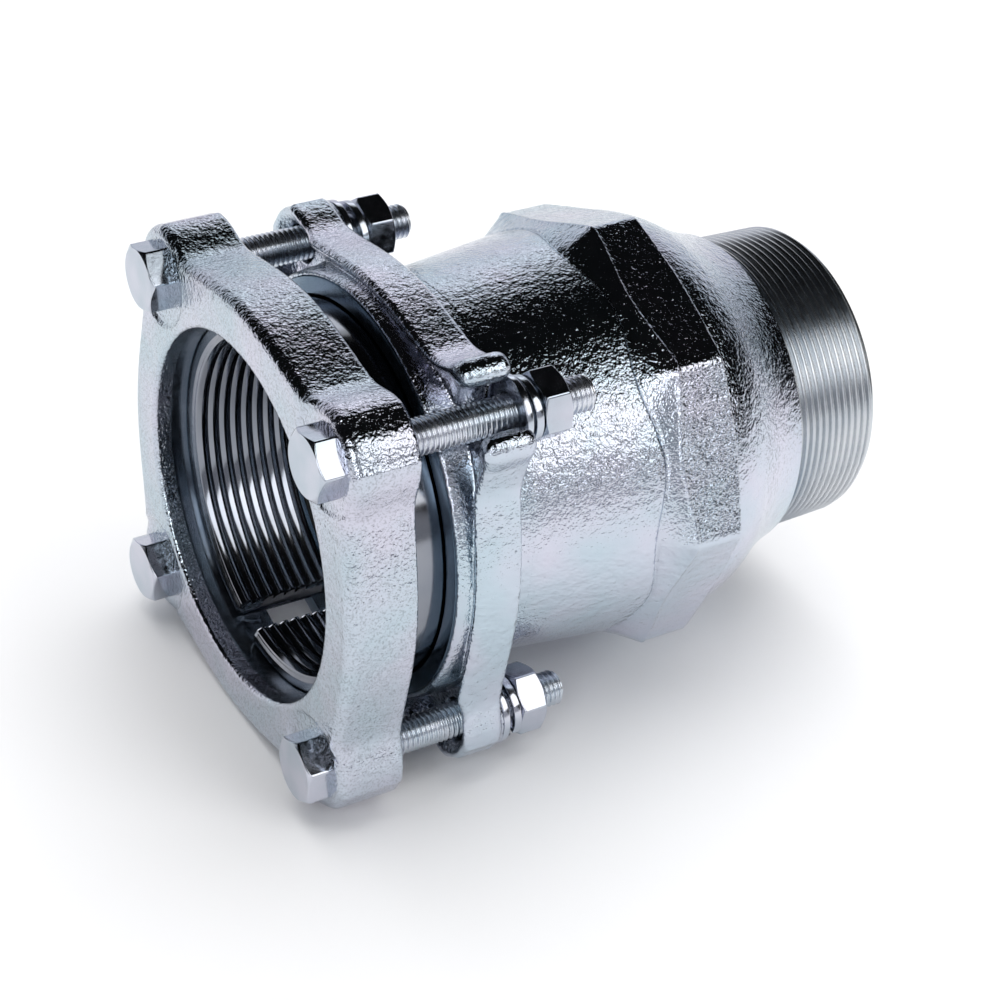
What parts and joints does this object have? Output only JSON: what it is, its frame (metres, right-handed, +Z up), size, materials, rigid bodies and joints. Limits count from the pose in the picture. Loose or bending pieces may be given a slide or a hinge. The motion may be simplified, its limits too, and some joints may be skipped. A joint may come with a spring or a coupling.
{
  "type": "flanged compression fitting",
  "caption": "Flanged compression pipe fitting: a bolted clamp flange presses a split grip ring and a seal on a plain pipe; taper pipe thread on the other end.",
  "frame": {"origin": "on the pipe axis, at the edge of the body's close pipe bore behind the seal", "axes": "+X along the axis towards the male thread, +Z up; the pipe goes in from -X"},
  "size_m": [0.188, 0.1298, 0.1298],
  "materials": {
    "zinc_casting": "bright zinc plating over a fine cast skin",
    "turned_steel": "turned and zinc plated",
    "passivated_steel": "dark blue-grey, smooth",
    "rubber": "matt black",
    "plated_fastener": "bright zinc plated"
  },
  "bodies": {
    "housing": {"body": "zinc_casting", "seal_ring": "rubber", "flat_washer_1": "plated_fastener", "flat_washer_2": "plated_fastener", "flat_washer_3": "plated_fastener", "flat_washer_4": "plated_fastener", "spring_washer_1": "plated_fastener", "spring_washer_2": "plated_fastener", "spring_washer_3": "plated_fastener", "spring_washer_4": "plated_fastener"},
    "clamp": {"clamp_flange": "zinc_casting", "grip_ring": "turned_steel", "pressure_ring": "passivated_steel", "bolt_1": "plated_fastener", "bolt_2": "plated_fastener", "bolt_3": "plated_fastener", "bolt_4": "plated_fastener"},
    "nut_1": {"nut_1": "plated_fastener"},
    "nut_2": {"nut_2": "plated_fastener"},
    "nut_3": {"nut_3": "plated_fastener"},
    "nut_4": {"nut_4": "plated_fastener"}
  },
  "joints": [
    {"name": "clamp_slide", "type": "slide", "parent": "housing", "child": "clamp", "axis": [1, 0, 0], "range_m": [-0.007, 0.0045], "deforming": ["seal_ring"]},
    {"name": "nut_1_turn", "type": "hinge", "parent": "housing", "child": "nut_1", "pos_m": [0.002, 0.0488, 0.0488], "axis": [-1, 0, 0], "range_deg": [-1685, 1085]},
    {"name": "nut_2_turn", "type": "hinge", "parent": "housing", "child": "nut_2", "pos_m": [0.002, -0.0488, 0.0488], "axis": [-1, 0, 0], "range_deg": [-1685, 1085]},
    {"name": "nut_3_turn", "type": "hinge", "parent": "housing", "child": "nut_3", "pos_m": [0.002, -0.0488, -0.0488], "axis": [-1, 0, 0], "range_deg": [-1685, 1085]},
    {"name": "nut_4_turn", "type": "hinge", "parent": "housing", "child": "nut_4", "pos_m": [0.002, 0.0488, -0.0488], "axis": [-1, 0, 0], "range_deg": [-1685, 1085]}
  ],
  "couplings": [
    {"joint": "nut_1_turn", "follows": "clamp_slide", "rad_per_m": 4188.8},
    {"joint": "nut_2_turn", "follows": "clamp_slide", "rad_per_m": 4188.8},
    {"joint": "nut_3_turn", "follows": "clamp_slide", "rad_per_m": 4188.8},
    {"joint": "nut_4_turn", "follows": "clamp_slide", "rad_per_m": 4188.8}
  ]
}
